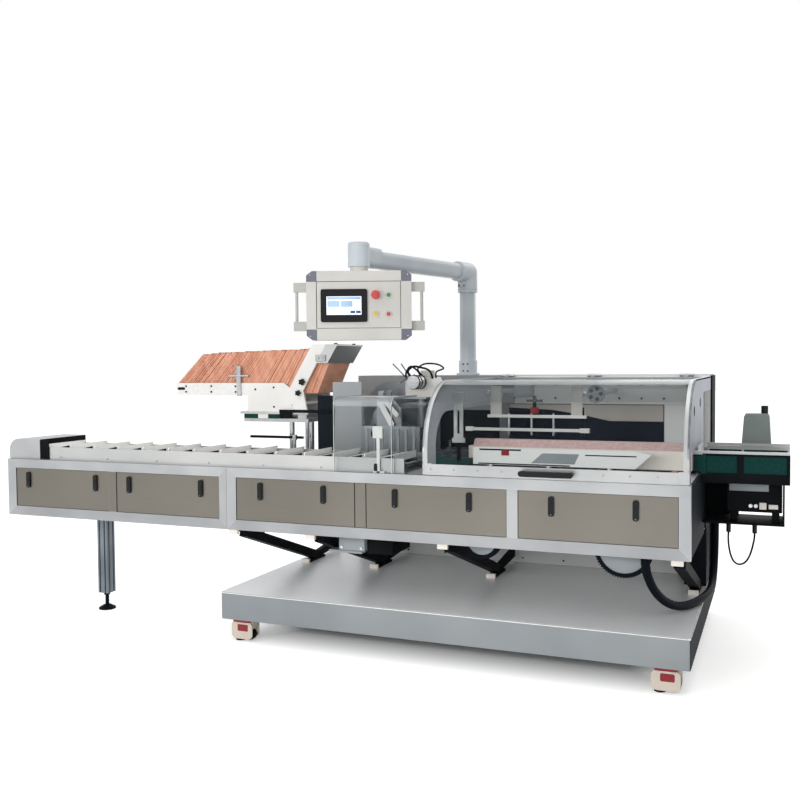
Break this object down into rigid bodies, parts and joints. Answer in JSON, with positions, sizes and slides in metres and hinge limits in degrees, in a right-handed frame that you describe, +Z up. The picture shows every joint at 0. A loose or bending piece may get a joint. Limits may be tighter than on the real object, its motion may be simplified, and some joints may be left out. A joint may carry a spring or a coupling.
{
  "type": "automatic cartoner",
  "caption": "Horizontal cartoning machine on a steel plinth with pocket infeed, blank magazine, clear lift-up hood, swivel operator panel and discharge belt.",
  "frame": {"origin": "middle of the footprint on the floor", "axes": "+X along the product flow towards the discharge, +Y from the operator side to the back, +Z up"},
  "size_m": [3.79, 1.423, 1.8765],
  "materials": {
    "plinth_steel": "brushed stainless sheet",
    "housing_steel": "brushed stainless sheet",
    "trim_steel": "fine brushed stainless",
    "panel_steel": "warm grey brushed stainless",
    "pocket_steel": "satin stainless",
    "chain_steel": "oiled steel",
    "polished_steel": "polished",
    "anodised_aluminium": "satin anodised",
    "machined_aluminium": "machined",
    "cream_casting": "semi-gloss paint",
    "cream_paint": "powder coat",
    "white_paint": "powder coat",
    "slate_paint": "powder coat",
    "black_paint": "powder coat",
    "blue_grey_paint": "powder coat",
    "motor_grey": "semi-gloss paint",
    "coder_grey": "semi-gloss paint",
    "black_rubber": "matte",
    "black_plastic": "moulded",
    "red_plastic": "moulded",
    "grey_plastic": "moulded",
    "white_plastic": "moulded",
    "green_plastic": "satin sheet",
    "green_belt": "satin",
    "rose_plastic": "extruded sheet",
    "smoked_acrylic": "polished sheet",
    "clear_acrylic": "polished sheet",
    "screen_glass": "glossy",
    "orange_card": "matte board"
  },
  "bodies": {
    "machine": {"base_plinth": "plinth_steel", "castor_bodies": "cream_casting", "castor_wheels": "black_rubber", "castor_dials": "red_plastic", "levelling_pads": "black_rubber", "rear_cabinet": "housing_steel", "rear_doors": "panel_steel", "back_window": "smoked_acrylic", "end_panels": "slate_paint", "right_end_plate": "housing_steel", "main_housing": "housing_steel", "infeed_housing": "housing_steel", "front_trim": "trim_steel", "front_panels": "panel_steel", "panel_latches": "black_plastic", "infeed_leg": "anodised_aluminium", "infeed_rails": "housing_steel", "infeed_chain": "chain_steel", "infeed_pockets": "pocket_steel", "infeed_end_cover": "trim_steel", "support_brackets": "black_paint", "bracket_caps": "white_plastic", "drive_units": "motor_grey", "dust_hose": "black_rubber", "hose_glands": "black_plastic", "magazine_sides": "white_paint", "magazine_base": "pocket_steel", "carton_blanks": "orange_card", "magazine_gate": "white_paint", "magazine_outlet": "housing_steel", "magazine_posts": "polished_steel", "carton_feeder": "machined_aluminium", "feeder_gearbox": "cream_casting", "fixed_guard": "clear_acrylic", "carton_conveyor": "chain_steel", "carton_shroud": "rose_plastic", "folding_ploughs": "polished_steel", "guide_blocks": "green_plastic", "hold_down_frame": "polished_steel", "height_knob": "black_plastic", "panel_column": "blue_grey_paint", "discharge_frame": "polished_steel", "discharge_panels": "green_plastic", "discharge_belt": "green_belt", "coder_head": "coder_grey", "coder_box": "black_paint", "coder_cable": "black_rubber", "hood_hinges": "polished_steel"},
    "hood": {"hood_left_arch": "trim_steel", "hood_right_arch": "trim_steel", "hood_rails": "trim_steel", "hood_sheet": "clear_acrylic", "hood_handle": "black_plastic"},
    "arm": {"panel_arm": "blue_grey_paint"},
    "panel": {"panel_enclosure": "cream_paint", "panel_corners": "grey_plastic", "panel_trim": "black_plastic", "panel_screen": "screen_glass", "panel_buttons": "red_plastic", "panel_handles": "blue_grey_paint"}
  },
  "joints": [
    {"name": "hood_lift", "type": "hinge", "parent": "machine", "child": "hood", "pos_m": [0.969, 0.4325, 1.238], "axis": [-1, 0, 0], "range_deg": [0, 75]},
    {"name": "arm_swivel", "type": "hinge", "parent": "machine", "child": "arm", "pos_m": [0.251, 0.5515, 1.74], "axis": [0, 0, -1], "range_deg": [0, 60]},
    {"name": "panel_swivel", "type": "hinge", "parent": "arm", "child": "panel", "pos_m": [0.01456, -0.35621, 1.78], "axis": [0, 0, 1], "range_deg": [-45, 45]}
  ]
}
